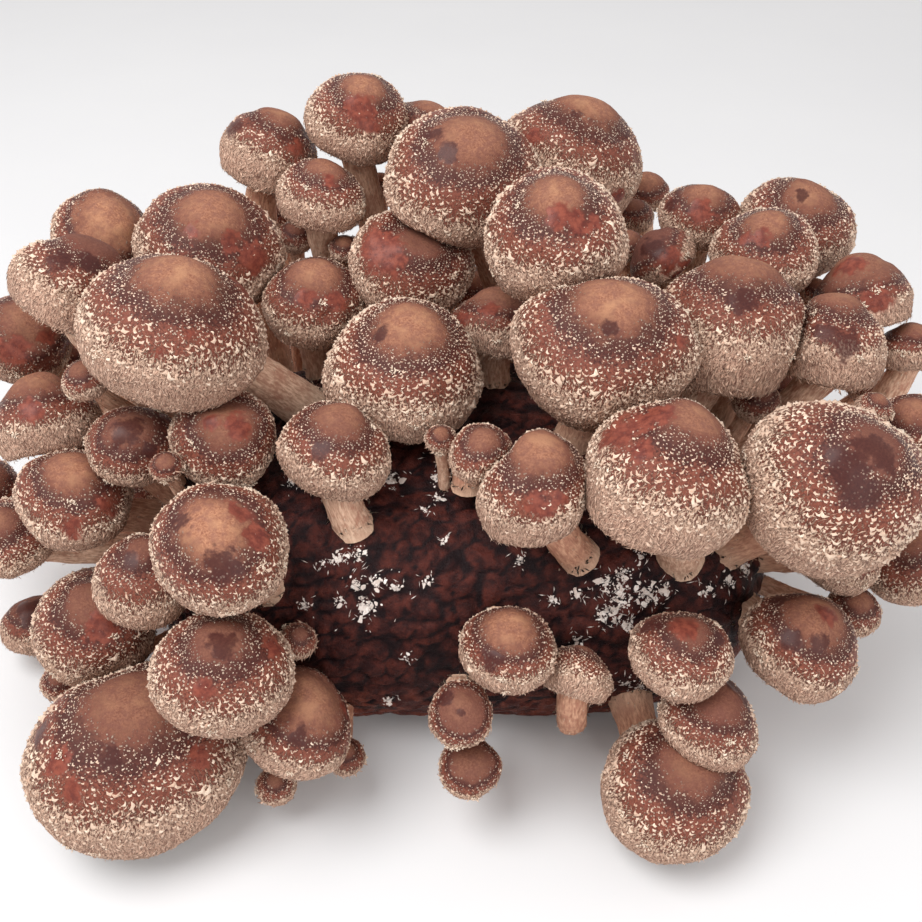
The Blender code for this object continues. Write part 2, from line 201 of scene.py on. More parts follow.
# Mushrooms too small or too hidden to have a solid of their own: the middle of the rim, the width and the
# foot in millimetres, and how far each leans to the right and to the back for a length of one upwards
Bud = namedtuple("Bud", "name rim width lean foot look")
BUDS = (
    Bud("crown_left_bud", (-102, -51, 115), 13, (0.1, -0.3), (-97, -43, 80), Look(0.5, 0.4, 0.4)),
    Bud("crown_middle_bud", (-7, -42, 120), 13, (0.0, -0.3), (-6, -38, 94), Look(0.4, 0.5, 0.8)),
    Bud("crown_left_shaded_bud", (-71, 84, 130), 18, (0.1, -0.2), (-66, 53, 79), Look(0.4, 0.3, 0.4)),
    Bud("crown_left_under_bud", (-138, -12, 124), 19, (-0.1, -0.2), (-105, -2, 82), Look(0.4, 0.4, 0.6)),
    Bud("crown_middle_shaded_bud", (-48, 62, 137), 14, (0.0, -0.3), (-45, 52, 82), Look(0.5, 0.6, 0.5)),
    Bud("crown_left_deep_bud", (-84, 122, 120), 20, (0.0, -0.2), (-71, 64, 60), Look(0.4, 0.2, 0.4)),
    Bud("crown_middle_deep_bud", (6, 99, 94), 26, (0.0, -0.3), (2, 62, 72), Look(0.4, 0.6, 0.5)),
    Bud("crown_right_deep_bud", (78, 113, 125), 20, (0.0, -0.2), (84, 60, 60), Look(0.4, 0.4, 0.4)),
    Bud("left_end_deep_bud", (-170, 58, 85), 22, (0.2, -0.2), (-111, 41, 48), Look(0.4, 0.2, 0.4)),
    Bud("left_end_low_bud", (-146, 36, 28), 22, (-0.2, -0.2), (-115, 34, 24), Look(0.4, 0.2, 0.4)),
    Bud("crown_middle_far_bud", (-36, 116, 138), 16, (0.0, -0.2), (-30, 64, 68), Look(0.4, 0.6, 0.5)),
    Bud("right_end_deep_bud", (172, 37, 86), 20, (-0.1, -0.2), (117, 26, 46), Look(0.4, 0.3, 0.4)),
    Bud("crown_right_bud", (86, 135, 126), 24, (0.0, -0.2), (90, 56, 62), Look(0.6, 0.7, 0.3)),
    Bud("crown_right_inner_bud", (69, 68, 135), 17, (0.0, -0.2), (68, 50, 81), Look(0.6, 0.4, 0.3)),
    Bud("crown_right_shaded_bud", (111, -9, 112), 20, (0.1, -0.3), (102, -8, 84), Look(0.4, 0.2, 0.5)),
    Bud("crown_right_far_bud", (138, 49, 76), 25, (0.1, -0.3), (111, 37, 58), Look(0.4, 0.2, 0.5)),
    Bud("crown_right_back_bud", (150, 63, 116), 15, (0.1, -0.2), (110, 40, 58), Look(0.5, 0.5, 0.4)),
    Bud("crown_right_low_bud", (143, -38, 131), 14, (0.2, -0.1), (106, -30, 77), Look(0.4, 0.4, 0.7)),
    Bud("left_end_bud", (-154, -72, 24), 16, (0.1, -0.2), (-114, -43, 21), Look(0.4, 0.4, 0.6)),
    Bud("front_left_bud", (-57, -87, 66), 15, (0.3, -0.2), (-58, -68, 60), Look(0.3, 0.3, 0.5)),
    Bud("front_left_pale_bud", (-42, -104, 22), 16, (0.2, -0.1), (-44, -76, 19), Look(0.3, 0.7, 0.2)),
    Bud("front_left_low_bud", (-66, -114, 19), 16, (0.0, -0.3), (-62, -74, 18), Look(0.3, 0.4, 0.8)),
    Bud("front_right_bud", (146, -63, 55), 22, (0.1, -0.2), (114, -38, 46), Look(0.4, 0.5, 0.5)),
)
# The rings of a mushroom's solid from the apex to the top of its stem: how far out and how far up each one
# lies from the middle of the rim, as shares of half the width
CAP_PROFILE = ((0.0, 0.80), (0.38, 0.73), (0.80, 0.44), (1.0, 0.0), (0.70, -0.46), (0.34, -0.14))
RING_FACETS = 8
STEM_SHARE = 0.17
# How many edges can meet at a solid's pole, and how many whole rings follow the one on top of the cap
POLE_LINKS = (8, 10, 12)
WHOLE_RINGS = 6
BLOCK_MIDDLE = Vector((0.0, 0.0, 50 * MM))

# White crusts of mycelium on the block's skin: a place in millimetres and a radius
CRUSTS = (
    (-43, -64, 84, 2.2), (-37, -63, 85, 2.4), (-49, -66, 83, 1.6), (-37, -71, 77, 2.2), (-30, -70, 78, 2.0),
    (-23, -71, 77, 1.8), (-34, -75, 70, 3.4), (-43, -74, 72, 1.6), (-12, -70, 78, 1.5), (-56, -74, 70, 1.8),
    (-20, -81, 50, 1.8), (-6, -59, 88, 1.2), (-26, -37, 97, 3.0), (-9, -22, 99, 1.6), (-8, -36, 97, 2.4),
    (-8, -44, 95, 1.6), (-13, -49, 93, 1.2), (56, -72, 73, 4.4), (51, -70, 77, 2.4), (58, -68, 79, 2.6),
    (66, -71, 73, 2.8), (54, -75, 68, 3.0), (50, -76, 66, 2.2), (59, -77, 63, 2.4), (41, -73, 74, 1.6),
    (64, -62, 83, 1.8), (69, -72, 70, 2.2), (73, -69, 73, 2.2), (32, -74, 72, 1.5), (61, -80, 35, 2.6),
    (67, -80, 31, 1.8), (90, -66, 68, 2.0), (99, -60, 68, 2.4), (106, -53, 67, 2.4), (-63, -35, 95, 1.6),
    (-60, -78, 57, 2.0), (-27, -83, 27, 1.6), (21, -65, 84, 1.4), (41, -80, 58, 1.6), (88, 66, 60, 3.0),
    (30, 72, 72, 2.6), (-20, 74, 66, 3.2), (-64, 70, 74, 2.6), (-112, 40, 46, 2.6), (118, 28, 50, 2.4),
)


class Shape:
    """Points, faces and values gathered for one mesh."""

    def __init__(self):
        self.points = []
        self.faces = []
        self.materials = []
        self.values = []
        self.count = 0

    def add(self, points, faces, material, across, tint=0.0, red=0.0, plum=0.0, turned=0.0):
        """New points, and faces that count from the first of them."""
        points = np.asarray(points, float).reshape(-1, 3)
        values = np.zeros((len(points), 10))
        for column, value in enumerate((across, tint, red, plum)):
            values[:, column] = value
        values[:, 4:7] = points / MM
        values[:, 7:10] = turned
        self.points.append(points)
        self.values.append(values)
        self.join(faces, self.count, material)
        self.count += len(points)

    def join(self, faces, start, material):
        """More faces over points already added."""
        self.faces.extend((np.asarray(faces) + start).tolist())
        self.materials.extend([material] * len(faces))

    def piece(self, name, materials, slot):
        """The finished mesh as a piece of the scene."""
        mesh = bpy.data.meshes.new(name)
        mesh.from_pydata(np.concatenate(self.points), [], self.faces)
        values = np.concatenate(self.values)
        for column, label in enumerate(("across", "tint", "red", "plum")):
            layer = mesh.attributes.new(label, "FLOAT", "POINT")
            layer.data.foreach_set("value", values[:, column].astype(np.float32))
        for column, label in ((4, "grain"), (7, "turned")):
            layer = mesh.attributes.new(label, "FLOAT_VECTOR", "POINT")
            layer.data.foreach_set("vector", values[:, column:column + 3].astype(np.float32).ravel())
        for material in materials:
            mesh.materials.append(material)
        mesh.polygons.foreach_set("material_index", np.array(self.materials, np.int32))
        mesh.shade_smooth()
        piece = put_in_scene(name, mesh)
        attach(piece, "root")
        return piece


def put_in_scene(name, data):
    """A new object in the scene."""
    made = bpy.data.objects.new(name, data)
    bpy.context.scene.collection.objects.link(made)
    return made


def unit(vectors):
    """The same ways with a length of one."""
    length = np.linalg.norm(vectors, axis=-1, keepdims=True)
    return vectors / np.maximum(length, 1e-12)


def swing(first, second, angle):
    """The first way, swung towards the second by an angle."""
    return first * np.cos(angle) + second * np.sin(angle)


def mean_radius(ring):
    """How far a ring's corners lie from its middle."""
    return np.linalg.norm(ring - ring.mean(axis=0), axis=-1).mean()


def curve(start, leave, finish, arrive, share):
    """A place on the smooth curve between two places, given how it leaves and arrives."""
    square, cube = share ** 2, share ** 3
    return (
        start * (2 * cube - 3 * square + 1) + leave * (cube - 2 * square + share)
        + finish * (3 * square - 2 * cube) + arrive * (cube - square)
    )


def quad_grid(rows, columns, start=0):
    """Faces of a sheet of points that closes on itself along each row."""
    row, column = np.meshgrid(np.arange(rows - 1), np.arange(columns), indexing="ij")
    after = (column + 1) % columns
    upper, lower = row * columns, (row + 1) * columns
    corners = (upper + column, lower + column, lower + after, upper + after)
    return np.stack(corners, axis=-1).reshape(-1, 4) + start


def fan(centre, ring_start, columns, inward=False):
    """Triangles from one point to a ring of points."""
    column = np.arange(columns) + ring_start
    after = np.roll(column, -1)
    middle = np.full(columns, centre)
    order = (middle, after, column) if inward else (middle, column, after)
    return np.stack(order, axis=-1)


def pyramids(count, corners):
    """Faces of low pyramids, each with its corners first and its peak last."""
    base = (np.arange(count) * (corners + 1))[:, None]
    sides = [base + np.array((corner, (corner + 1) % corners, corners)) for corner in range(corners)]
    return np.concatenate(sides)


def around(ring, columns):
    """The smooth closed curve through a ring's corners, as evenly spaced points."""
    waves = np.fft.rfft(ring, axis=0)
    if len(ring) % 2 == 0:
        waves[-1] *= 0.5
    return np.fft.irfft(waves, columns, axis=0) * (columns / len(ring))


def lengthwise(loops, spacing):
    """Smooth rows through a stack of loops. The first and last loop only steer the ends."""
    steps = [np.linalg.norm(b - a, axis=-1).mean() for a, b in zip(loops, loops[1:])]
    slopes = []
    for before, here, after, back, ahead in zip(loops, loops[1:], loops[2:], steps, steps[1:]):
        slopes.append(((after - here) / ahead * back + (here - before) / back * ahead) / (back + ahead))
    inner = loops[1:-1]
    spans = steps[1:-1]
    starts = np.concatenate(([0.0], np.cumsum(spans)))
    along = np.linspace(0, starts[-1], max(4, round(starts[-1] / spacing) + 1))
    sheet = []
    for place in along:
        part = min(int(np.searchsorted(starts, place, side="right")) - 1, len(spans) - 1)
        span = spans[part]
        share = (place - starts[part]) / span
        leave, arrive = slopes[part] * span, slopes[part + 1] * span
        sheet.append(curve(inner[part], leave, inner[part + 1], arrive, share))
    return np.array(sheet), along, starts


def normals_of(sheet, centre):
    """Unit normals of a sheet that closes along its rows, pointing away from the centre."""
    round_it = np.roll(sheet, -1, axis=1) - np.roll(sheet, 1, axis=1)
    down_it = np.gradient(sheet, axis=0)
    normals = unit(np.cross(round_it, down_it))
    outward = ((sheet - centre) * normals).sum(axis=-1).mean()
    return normals if outward > 0 else -normals


def roughness_field(points, size, detail, seed):
    """Fractal noise at each point, about -1 to 1, with bumps of the given size."""
    flat = (points.reshape(-1, 3) / size + seed).tolist()
    found = [noise.fractal(place, 1.0, 2.0, detail) for place in flat]
    return np.array(found).reshape(points.shape[:-1])


def levels_from(pole):
    """A solid's corners, sorted by how many edges lie between them and its pole."""
    levels, seen = [[pole]], {pole}
    while levels[-1]:
        found = {edge.other_vert(vert) for vert in levels[-1] for edge in vert.link_edges} - seen
        seen |= found
        levels.append(sorted(found, key=lambda vert: vert.index))
    return levels[:-1]


def whole_levels(levels):
    """How many rings below the pole have all their corners."""
    whole = 0
    while whole < WHOLE_RINGS and whole + 1 < len(levels) and len(levels[whole + 1]) == len(levels[1]):
        whole += 1
    return whole


def roundness(levels):
    """How evenly the corners near a pole lie round its normal; highest at the top of a cap."""
    pole = levels[0][0]
    arms = np.array([vert.co - pole.co for level in levels[1:4] for vert in level])
    across = arms - np.outer(arms @ np.array(pole.normal), pole.normal)
    spread = np.linalg.svd(across, compute_uv=False)
    sideways = np.linalg.norm(across.sum(axis=0)) / np.linalg.norm(across, axis=-1).sum()
    third = np.array([(vert.co - pole.co).length for vert in levels[3]])
    return spread[1] / spread[0] - sideways - third.std() / third.mean()


def outer_corners(form):
    """The corners of a mushroom that lie farther from the block's middle than most."""
    reach = [(vert.co - BLOCK_MIDDLE).length for vert in form.verts]
    return [vert for vert, far in zip(form.verts, reach) if far > np.median(reach)]


def corner_places(levels):
    """The places of the corners in each level."""
    return [np.array([vert.co[:] for vert in level]) for level in levels]


def welded_form(mesh):
    """A solid's mesh with its corners welded."""
    form = bmesh.new()
    form.from_mesh(mesh)
    bmesh.ops.remove_doubles(form, verts=form.verts, dist=0.01 * MM)
    return form


def read_rings(node):
    """The rings of corners that a mushroom's solid is turned from: apex, four of cap, two of stem, foot."""
    form = welded_form(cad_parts[node].data)
    form.verts.index_update()
    form.normal_update()
    poles = [vert for vert in form.verts if len(vert.link_edges) in POLE_LINKS]
    levels = max((levels_from(pole) for pole in poles), key=whole_levels, default=())
    if whole_levels(levels) == WHOLE_RINGS:
        corners = corner_places(levels)
        rings = corners[:7] + [np.concatenate(corners[7:])]
    else:
        levels = max((levels_from(pole) for pole in outer_corners(form)), key=roundness)
        rings = rings_on_surface(BVHTree.FromBMesh(form), corner_places(levels))
    form.free()
    return in_order(rings)


def circle_round(axis, side, facets):
    """Unit arms round an axis, as many as there are facets, the first on the given side."""
    side = unit(side - axis * (side @ axis))
    return swing(side, np.cross(axis, side), np.arange(facets)[:, None] / facets * math.tau)


def cap_rings(middle, circle, axis, half):
    """The rings of a cap and the top of its stem, drawn by the profile."""
    return [middle + (circle * reach + axis * rise) * half for reach, rise in CAP_PROFILE[1:]]


def rings_on_surface(surface, corners):
    """The same rings where a flat side has lost some corners: drawn whole, then laid on the surface."""
    apex, middle = corners[0][0], corners[3].mean(axis=0)
    axis = unit(apex - middle)
    half = np.median(np.linalg.norm(corners[3] - middle, axis=-1))
    circle = circle_round(axis, corners[1][0] - apex, RING_FACETS)
    rings = [corners[0]]
    for ring in cap_rings(middle, circle, axis, half):
        rings.append(np.array([surface.find_nearest(Vector(corner))[0] for corner in ring]))
    step = min(WHOLE_RINGS, len(corners) - 2)
    waist = corners[step].mean(axis=0) + circle * STEM_SHARE * 2 * half
    return rings + [waist, np.concatenate(corners[step + 1:])]


def in_order(rings):
    """Sorts each cap ring's corners round the cap's axis, all starting with the one nearest the front."""
    apex = rings[0][0]
    axis = unit(apex - rings[3].mean(axis=0))
    side = unit(rings[1][rings[1][:, 1].argmin()] - apex)
    side = unit(side - axis * (side @ axis))
    across = np.cross(axis, side)
    facets = len(rings[1])
    ordered = [apex]
    for ring in rings[1:6]:
        arm = ring - ring.mean(axis=0)
        angle = np.arctan2(arm @ across, arm @ side)
        ordered.append(ring[np.argsort((angle + math.pi / facets) % math.tau)])
    return ordered + rings[6:]


def bud_rings(bud):
    """Rings like those of a solid, for a mushroom that has none."""
    half = bud.width * MM / 2
    rim, foot = np.array(bud.rim) * MM, np.array(bud.foot) * MM
    axis = unit(np.array((*bud.lean, 1.0)))
    circle = circle_round(axis, np.cross(axis, (0.0, 1.0, 0.0)), RING_FACETS)
    apex = rim + axis * CAP_PROFILE[0][1] * half
    stem = circle * STEM_SHARE * 2 * half
    waist = rim * 0.5 + foot * 0.5 - axis * 0.3 * half
    return [apex, *cap_rings(rim, circle, axis, half), waist + stem, foot + stem]


Cap = namedtuple("Cap", "sheet normals along share angle width axis centre")


def zones(share, umbo):
    """Moves a cap's shares so that its velvety middle, whatever its reach, ends where the others' do."""
    return np.interp(share, (0.0, umbo * UMBO_REACH, 1.0, 2.0), (0.0, UMBO_END, 1.0, 2.0))


def skin_rise(sheet, share, width, number):
    """How far a cap's skin stands off its rings."""
    middle = np.exp(-(share / MIDDLE_REACH) ** 4) * MIDDLE_RISE
    groove = -np.exp(-((share - GROOVE_PLACE) / GROOVE_REACH) ** 2) * GROOVE_DEPTH
    swell = roughness_field(sheet, width * SWELL_WIDTH, 2, number * 3.7) * SWELL_RISE
    crumple = roughness_field(sheet, CRUMPLE_WIDTH, 3, number * 1.3) * CRUMPLE_RISE
    shape = (middle + groove + swell * np.minimum(1, share * 2)) * width / 2
    return shape + crumple * np.clip(share * 2, 0.3, 1) - SKIN_DEPTH


def draw_cap(rings, look, number):
    """The smooth upper surface of a cap, from its apex over the rim to the rolled-in lip."""
    apex, top, shoulder, rim, lip = rings[:5]
    width = np.linalg.norm(rim - np.roll(rim, len(rim) // 2, axis=0), axis=-1).mean()
    columns = 2 * round(math.pi * width / CAP_SPACING / 2)
    centre = rim.mean(axis=0)
    axis = unit(apex - centre)
    loops = [around(ring, columns) for ring in (top, shoulder, rim, lip)]
    inward = unit(centre - loops[3])
    under = loops[3] + inward * 0.10 * width / 2 + axis * 0.06 * width / 2
    behind = np.roll(loops[0], columns // 2, axis=0)
    pole = np.repeat(apex[None], columns, axis=0)
    sheet, along, starts = lengthwise([behind, pole, *loops, under], CAP_SPACING)
    share = along / starts[3]
    normals = normals_of(sheet, centre)
    normals[0] = axis
    rise = skin_rise(sheet, share[:, None], width, number)
    for dent in look.dent:
        rise = rise + dent_depth(sheet, dent)
    sheet = sheet + normals * rise[..., None]
    sheet[0] = sheet[0].mean(axis=0)
    normals = normals_of(sheet, centre)
    normals[0] = axis
    angle = np.arange(columns) / columns * math.tau
    return Cap(sheet, normals, along, zones(share, look.umbo), angle, width, axis, centre)


def dent_depth(sheet, dent):
    """A groove pressed in along a line between two places."""
    start, end = np.array(dent[:3]) * MM, np.array(dent[3:6]) * MM
    radius, depth = dent[6] * MM, dent[7] * MM
    line = end - start
    share = np.clip((sheet - start) @ line / max(line @ line, 1e-12), 0, 1)
    away = np.linalg.norm(sheet - start - share[..., None] * line, axis=-1)
    return -np.exp(-(away / radius) ** 2) * depth


def patched(points, patches):
    """How far each point is inside one of the patches, from 0 to 1, with a wandering edge."""
    inside = np.zeros(points.shape[:-1])
    if not patches:
        return inside
    wobble = roughness_field(points, 4 * MM, 3, 1.5) * PATCH_WOBBLE
    for x, y, z, radius in patches:
        away = np.linalg.norm(points - np.array((x, y, z)) * MM, axis=-1)
        inside = np.maximum(inside, np.clip((PATCH_END - away / (radius * MM) + wobble) / PATCH_EDGE, 0, 1))
    return inside


def own_grain(angle, radius, along, shift):
    """Where each point of a turned surface lies in its own grain, in millimetres."""
    places = np.zeros((len(along), len(angle), 3))
    places[..., 0] = np.cos(angle) * radius / MM
    places[..., 1] = np.sin(angle) * radius / MM
    places[..., 2] = along[:, None] / MM
    return places + shift


def add_cap(shape, cap, look, number):
    """The cap's skin, closed at the apex by a fan."""
    rows, columns = cap.sheet.shape[:2]
    turned = own_grain(cap.angle, cap.width / 2, cap.along, number * 31.7)
    points = np.concatenate((cap.sheet[:1, 0], cap.sheet[1:].reshape(-1, 3)))
    across = np.concatenate((cap.share[:1], np.repeat(cap.share[1:], columns)))
    turned = np.concatenate((turned[:1, 0], turned[1:].reshape(-1, 3)))
    red, plum = patched(points, look.red), patched(points, look.plum)
    start = shape.count
    shape.add(points, quad_grid(rows - 1, columns, 1), SKIN, across, look.tan, red, plum, turned)
    shape.join(fan(0, 1, columns), start, SKIN)


def add_gills(shape, cap, rings):
    """Pleats from inside the lip to the stem, each fold one gill."""
    columns = 2 * round(math.pi * cap.width / GILL_SPACING / 2)
    half = cap.width / 2
    lip = around(cap.sheet[-1], columns)
    level = rings[5].mean(axis=0) + cap.axis * 0.04 * half
    arm = lip - cap.centre
    side = unit(arm - (arm @ cap.axis)[:, None] * cap.axis)
    hub = level + side * 0.20 * half
    fold = np.where(np.arange(columns) % 2 == 0, GILL_EDGE, 1.0)[:, None]
    sheet = [lip + cap.axis * 0.02 * half]
    for row in range(1, GILL_ROWS):
        share = row / (GILL_ROWS - 1)
        height = 0.0 if row == GILL_ROWS - 1 else GILL_LIFT + GILL_DEPTH * math.sin(math.pi * share) ** 0.5
        sheet.append(lip + (hub - lip) * share + cap.axis * fold * height * half)
    start = shape.count
    points = np.concatenate((np.concatenate(sheet), level[None]))
    across = np.concatenate((np.repeat(np.linspace(0, 1, GILL_ROWS), columns), [1.0]))
    shape.add(points, quad_grid(GILL_ROWS, columns), GILLS, across)
    last = (GILL_ROWS - 1) * columns
    shape.join(fan(GILL_ROWS * columns, last, columns, inward=True), start, GILLS)


def stem_line(rings, cap):
    """Centres and radii down a stem, from inside the cap to inside the block."""
    top, waist, foot = (ring.mean(axis=0) for ring in rings[5:8])
    radius = mean_radius(rings[6])
    neck = min(mean_radius(rings[5]), radius * 1.5) - radius
    into = unit(foot - waist)
    start, end = top + cap.axis * STEM_IN_CAP, foot + into * STEM_IN_BLOCK
    upper, lower = np.linalg.norm(waist - top), np.linalg.norm(end - waist)
    bend = unit(unit(waist - top) + into)
    steps = max(8, round((upper + lower) / STEM_SPACING))
    places, radii = [], []
    for step in range(steps + 1):
        share = step / steps
        if share < 0.5:
            places.append(curve(start, -cap.axis * upper, waist, bend * upper, share * 2))
        else:
            places.append(curve(waist, bend * lower, end, into * lower, share * 2 - 1))
        flare = FOOT_FLARE * max(0.0, (share - FOOT_START) / (1 - FOOT_START)) ** 2
        spread = max(0.0, 1 - share / NECK_END) ** 2
        radii.append(radius * (1 + flare) + neck * spread)
    return np.array(places), np.array(radii)


def add_stem(shape, rings, cap, random, number):
    """A ridged, lumpy stem with loose fibres on it."""
    places, radii = stem_line(rings, cap)
    rows = len(places)
    ways = unit(np.gradient(places, axis=0))
    side = np.cross(ways[0], ASKEW)
    angle = np.arange(STEM_COLUMNS) / STEM_COLUMNS * math.tau
    sheet = []
    for place, way, radius in zip(places, ways, radii):
        side = unit(side - way * (side @ way))
        sheet.append(place + radius * swing(side, np.cross(way, side), angle[:, None]))
    sheet = np.array(sheet)
    normals = unit(sheet - places[:, None])
    ridges = np.array([noise.noise((math.cos(a) * 4, math.sin(a) * 4, number * 5.1)) for a in angle])
    lumps = roughness_field(sheet, 6 * MM, 3, number * 2.2)
    sheet = sheet + normals * (ridges[None, :, None] * RIDGE_RISE + lumps[..., None] * LUMP_RISE)
    along = np.cumsum(np.linalg.norm(np.diff(places, axis=0, prepend=places[:1]), axis=-1))
    turned = own_grain(angle, radii.mean(), along, number * 17.3).reshape(-1, 3)
    points = np.concatenate((sheet.reshape(-1, 3), places[:1], places[-1:]))
    across = np.concatenate((np.repeat(np.linspace(0, 1, rows), STEM_COLUMNS), [0.0, 1.0]))
    turned = np.concatenate((turned, np.zeros((2, 3))))
    start, first_end, last_row = shape.count, rows * STEM_COLUMNS, (rows - 1) * STEM_COLUMNS
    shape.add(points, quad_grid(rows, STEM_COLUMNS)[:, ::-1], STEM, across, random.random(), turned=turned)
    shape.join(fan(first_end, 0, STEM_COLUMNS), start, STEM)
    shape.join(fan(first_end + 1, last_row, STEM_COLUMNS, inward=True), start, STEM)
    add_stem_fibres(shape, sheet, normals, ways, random)


def lengths(random, limits, count):
    """Random lengths between two limits in millimetres, one to a row."""
    return random.uniform(*limits, (count, 1)) * MM


def add_slivers(shape, start, middle, finish, cross, width, material, across, tint):
    """Thin fibres: each a long closed sliver of four triangles, humped in the middle."""
    count = len(start)
    reach = cross * width / 2
    points = np.stack((start, middle - reach, finish, middle + reach), axis=1)
    base = (np.arange(count) * 4)[:, None]
    corners = ((0, 1, 3), (1, 2, 3), (0, 2, 1), (0, 3, 2))
    faces = np.concatenate([base + np.array(corner) for corner in corners])
    shape.add(points, faces, material, across, np.repeat(tint, 4))


def add_stem_fibres(shape, sheet, normals, ways, random):
    """Loose ends that lie up or down a stem."""
    rows = len(sheet)
    count = STEM_ROW_FIBRES * rows
    row, column = random.integers(2, rows - 1, count), random.integers(0, STEM_COLUMNS, count)
    place, normal, way = sheet[row, column], normals[row, column], ways[row]
    cross = np.cross(normal, way)
    way = unit(way * random.choice((-1.0, 1.0), (count, 1)) + cross * random.normal(0, 0.5, (count, 1)))
    reach = way * lengths(random, STEM_FIBRE.length, count)
    lift = normal * lengths(random, (0.05, 0.9), count)
    root = place - normal * STEM_FIBRE.root * MM
    width = lengths(random, STEM_FIBRE.width, count)
    add_slivers(
        shape, root, place + reach / 2 + lift * 0.7, place + reach + lift,
        np.cross(normal, way), width, FLECKS, 1.0, random.random(count),
    )


def on_sheet(cap, rows, turns):
    """Places, normals and directions towards the rim, at fractional rows and turns of a cap."""
    count, columns = cap.sheet.shape[:2]
    row = np.clip(rows, 0, count - 1.001)
    low = row.astype(int)
    part = (row - low)[:, None]
    column = (turns / math.tau * columns) % columns
    left = column.astype(int) % columns
    right = (left + 1) % columns
    side = (column - np.floor(column))[:, None]

    def blend(values):
        upper = values[low, left] * (1 - side) + values[low, right] * side
        lower = values[low + 1, left] * (1 - side) + values[low + 1, right] * side
        return upper * (1 - part) + lower * part, lower - upper

    place, down = blend(cap.sheet)
    normal, _ = blend(cap.normals)
    normal = unit(normal)
    down = unit(down - normal * (down * normal).sum(axis=-1, keepdims=True))
    return place, normal, down


def spread_over(cap, crowding, random, first, last):
    """Rows and turns of specks set out evenly, as many to the square millimetre as crowding says."""
    radius = np.linalg.norm(cap.sheet - cap.sheet.mean(axis=1, keepdims=True), axis=-1).mean(axis=1)
    zone = (cap.share >= first) & (cap.share <= last)
    total = np.cumsum(crowding * zone * math.tau * radius * np.gradient(cap.along) / MM ** 2)
    count = int(total[-1])
    order = np.arange(count) + random.random(count)
    rows = np.interp(order, total, np.arange(len(total)))
    turns = np.arange(count) * GOLDEN_TURN + random.normal(0, 0.02, count)
    return rows, turns


def coarseness(cap):
    """How large a cap's flecks are beside those of a cap 55 mm wide."""
    return (cap.width / (55 * MM)) ** 0.55


# Flecks by zone: how far out, how many to the square millimetre, and half their width in millimetres
FLECK_ZONES = (0.30, 0.38, 0.50, 0.62, 0.76, 0.92, 1.04, 1.16)
FLECK_CROWDING = (0.25, 0.75, 0.46, 0.23, 0.27, 0.30, 0.12, 0.02)
FLECK_SIZES = (0.15, 0.25, 0.38, 0.62, 0.70, 0.62, 0.48, 0.3)
# A fleck's corners, as shares of its size across and towards the rim: two horns, a notch and a broad lip
FLECK_CORNERS = ((-1.05, -0.55), (-0.62, 0.62), (0.62, 0.62), (1.05, -0.55), (0.0, -0.12))
# Fibres by zone: how far out, and how many to the square millimetre
FIBRE_ZONES = (0.6, 0.85, 1.0, 1.25, 1.3)
FIBRE_CROWDING = (0.02, 0.22, 0.32, 0.30, 0.25)
# How many fibres lie on each row of a stem, in a tuft and in a collar, and along a millimetre of fringe
STEM_ROW_FIBRES = 6
TUFT_STRANDS = 16
COLLAR_FIBRES = 34
FRINGE_CROWDING = 1.2


def add_flecks(shape, cap, look, random):
    """Raised cream flecks: small crescents whose lip stands up on the side towards the rim."""
    scale = coarseness(cap)
    crowding = np.interp(cap.share, FLECK_ZONES, FLECK_CROWDING) / scale ** 2
    rows, turns = spread_over(cap, crowding, random, FLECK_ZONES[0], FLECK_ZONES[-1])
    place, normal, down = on_sheet(cap, rows, turns)
    share = np.interp(rows, np.arange(len(cap.share)), cap.share)
    bare = np.maximum(patched(place, look.red), patched(place, look.plum) * 0.7)
    thin = roughness_field(place, 8 * MM, 2, 5.5)
    chance = np.where(bare < 0.3, 0.25 + look.cream * 0.75 + 0.5 * thin, 0.05)
    keep = random.random(len(rows)) < chance
    place, normal, down, share = place[keep], normal[keep], down[keep], share[keep]
    count = len(place)
    size = np.interp(share, FLECK_ZONES, FLECK_SIZES) * MM * scale * (0.8 + 0.3 * look.cream)
    size = (size * np.exp(random.normal(0, 0.32, count)))[:, None]
    way = swing(down, np.cross(normal, down), random.normal(0, 0.55, count)[:, None])
    cross = np.cross(normal, way)
    points = np.zeros((count, 6, 3))
    for corner, (across, along) in enumerate(FLECK_CORNERS):
        stray = 1 + random.normal(0, 0.25, (count, 1))
        points[:, corner] = place - normal * 0.12 * MM + (cross * across + way * along) * size * stray
    points[:, 5] = place + normal * size * random.uniform(0.45, 1.0, (count, 1)) + way * size * 0.3
    tint = np.clip(np.repeat(random.normal(0.55, 0.25, count), 6), 0, 1)
    shape.add(points, pyramids(count, 5), FLECKS, np.repeat(share, 6), tint)


def add_fibres(shape, cap, look, random):
    """Felt of fine fibres on the cap's side, leaning left or right of the way to the rim in patches."""
    crowding = np.interp(cap.share, FIBRE_ZONES, FIBRE_CROWDING)
    rows, turns = spread_over(cap, crowding, random, FIBRE_ZONES[0], FIBRE_ZONES[-1])
    place, normal, down = on_sheet(cap, rows, turns)
    keep = np.maximum(patched(place, look.red), patched(place, look.plum)) < 0.3
    place, normal, down = place[keep], normal[keep], down[keep]
    count = len(place)
    lean = np.where(roughness_field(place, 11 * MM, 1, 9.0) > 0, 0.65, -0.65)
    way = unit(swing(down, np.cross(normal, down), (lean + random.normal(0, 0.3, count))[:, None]))
    cross = np.cross(normal, way)
    length = lengths(random, FELT_FIBRE.length, count)
    lift = lengths(random, (0.05, 0.26), count)
    bow = cross * random.normal(0, 0.12, (count, 1)) * length
    root = place - normal * FELT_FIBRE.root * MM
    middle = place + way * length / 2 + normal * lift + bow
    tip = place + way * length + normal * (lift * 0.4 - FELT_FIBRE.root * MM)
    width = lengths(random, FELT_FIBRE.width, count)
    add_slivers(shape, root, middle, tip, cross, width, FLECKS, 1.15, random.uniform(0.0, 0.9, count))


